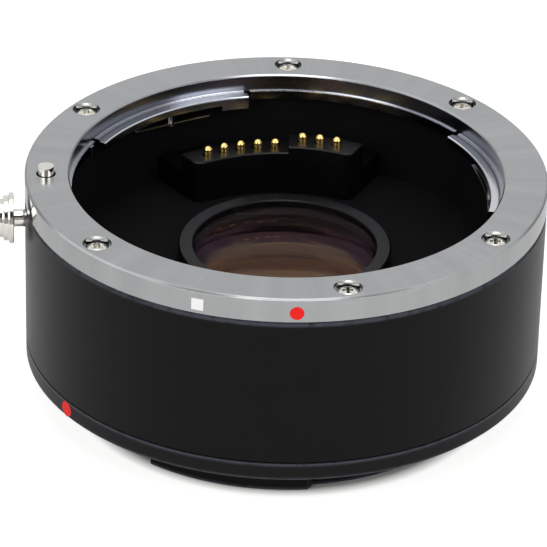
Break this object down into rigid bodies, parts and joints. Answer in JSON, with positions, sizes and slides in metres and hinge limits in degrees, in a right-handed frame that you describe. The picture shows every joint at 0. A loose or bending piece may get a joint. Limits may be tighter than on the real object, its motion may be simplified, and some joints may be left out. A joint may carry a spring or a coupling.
{
  "type": "camera teleconverter",
  "caption": "Short lens-to-camera teleconverter: steel lens bayonet with lock pin and sprung contacts, black barrel, glass cell and a camera bayonet behind.",
  "frame": {"origin": "on the optical axis in the plane of the camera-side flange", "axes": "+Z along the optical axis towards the lens, -Y through the front red index, -X beside the lens lock pin and its release knob"},
  "size_m": [0.0684, 0.065, 0.0316],
  "materials": {
    "mount_steel": "satin ground and polished steel",
    "fastener_chrome": "bright chrome plate",
    "knob_chrome": "turned and polished, bright chrome plate",
    "index_red": "red enamel fill",
    "index_white": "white enamel fill",
    "barrel_black": "black anodised, satin",
    "chassis_black": "black anodised, matte",
    "mount_black": "black anodised, satin",
    "block_black": "moulded black plastic",
    "cell_black": "black anodised, semi-gloss",
    "contact_gold": "gold plate",
    "coated_glass": "anti-reflection coated optical glass",
    "spring_steel": "bare spring steel",
    "board_green": "solder mask",
    "ribbon_amber": "polyimide film"
  },
  "bodies": {
    "housing": {"lens_mount_ring": "mount_steel", "lens_mount_screws": "fastener_chrome", "front_red_index": "index_red", "front_white_index": "index_white", "rear_red_index": "index_red", "rotation_stop_pin": "mount_steel", "bayonet_leaf_springs": "spring_steel", "leaf_spring_rivets": "fastener_chrome", "barrel_sleeve": "barrel_black", "inner_chassis": "chassis_black", "front_contact_block": "block_black", "contact_board": "board_green", "flex_ribbon": "ribbon_amber", "front_block_screws": "fastener_chrome", "lens_cell": "cell_black", "lens_cell_screws": "fastener_chrome", "front_retaining_ring": "cell_black", "lock_spring": "spring_steel", "rear_bayonet_mount": "mount_black", "rear_mount_screws": "fastener_chrome", "rear_contact_block": "block_black", "rear_contact_pads": "contact_gold", "rear_block_screws": "fastener_chrome", "rear_light_baffle": "chassis_black", "contact_spring_1": "spring_steel", "contact_spring_2": "spring_steel", "contact_spring_3": "spring_steel", "contact_spring_4": "spring_steel", "contact_spring_5": "spring_steel", "contact_spring_6": "spring_steel", "contact_spring_7": "spring_steel", "contact_spring_8": "spring_steel", "lens_element_1": "coated_glass", "lens_element_2": "coated_glass", "lens_element_3": "coated_glass", "lens_element_4": "coated_glass", "lens_element_5": "coated_glass", "lens_element_6": "coated_glass", "lens_spacer_1": "chassis_black", "lens_spacer_2": "chassis_black", "lens_spacer_3": "chassis_black"},
    "lens_release": {"lock_pin": "fastener_chrome", "lock_carriage": "mount_steel", "release_knob": "knob_chrome"},
    "contact_1": {"contact_pin_1": "contact_gold"},
    "contact_2": {"contact_pin_2": "contact_gold"},
    "contact_3": {"contact_pin_3": "contact_gold"},
    "contact_4": {"contact_pin_4": "contact_gold"},
    "contact_5": {"contact_pin_5": "contact_gold"},
    "contact_6": {"contact_pin_6": "contact_gold"},
    "contact_7": {"contact_pin_7": "contact_gold"},
    "contact_8": {"contact_pin_8": "contact_gold"}
  },
  "joints": [
    {"name": "release_slide", "type": "slide", "parent": "housing", "child": "lens_release", "axis": [0, 0, -1], "range_m": [0, 0.0015], "stiffness_N_per_m": 800, "springref_m": -0.002, "deforming": ["lock_spring"]},
    {"name": "contact_1_press", "type": "slide", "parent": "housing", "child": "contact_1", "axis": [0, 0, -1], "range_m": [0, 0.0008], "stiffness_N_per_m": 600, "springref_m": -0.0005, "deforming": ["contact_spring_1"]},
    {"name": "contact_2_press", "type": "slide", "parent": "housing", "child": "contact_2", "axis": [0, 0, -1], "range_m": [0, 0.0008], "stiffness_N_per_m": 600, "springref_m": -0.0005, "deforming": ["contact_spring_2"]},
    {"name": "contact_3_press", "type": "slide", "parent": "housing", "child": "contact_3", "axis": [0, 0, -1], "range_m": [0, 0.0008], "stiffness_N_per_m": 600, "springref_m": -0.0005, "deforming": ["contact_spring_3"]},
    {"name": "contact_4_press", "type": "slide", "parent": "housing", "child": "contact_4", "axis": [0, 0, -1], "range_m": [0, 0.0008], "stiffness_N_per_m": 600, "springref_m": -0.0005, "deforming": ["contact_spring_4"]},
    {"name": "contact_5_press", "type": "slide", "parent": "housing", "child": "contact_5", "axis": [0, 0, -1], "range_m": [0, 0.0008], "stiffness_N_per_m": 600, "springref_m": -0.0005, "deforming": ["contact_spring_5"]},
    {"name": "contact_6_press", "type": "slide", "parent": "housing", "child": "contact_6", "axis": [0, 0, -1], "range_m": [0, 0.0008], "stiffness_N_per_m": 600, "springref_m": -0.0005, "deforming": ["contact_spring_6"]},
    {"name": "contact_7_press", "type": "slide", "parent": "housing", "child": "contact_7", "axis": [0, 0, -1], "range_m": [0, 0.0008], "stiffness_N_per_m": 600, "springref_m": -0.0005, "deforming": ["contact_spring_7"]},
    {"name": "contact_8_press", "type": "slide", "parent": "housing", "child": "contact_8", "axis": [0, 0, -1], "range_m": [0, 0.0008], "stiffness_N_per_m": 600, "springref_m": -0.0005, "deforming": ["contact_spring_8"]}
  ]
}
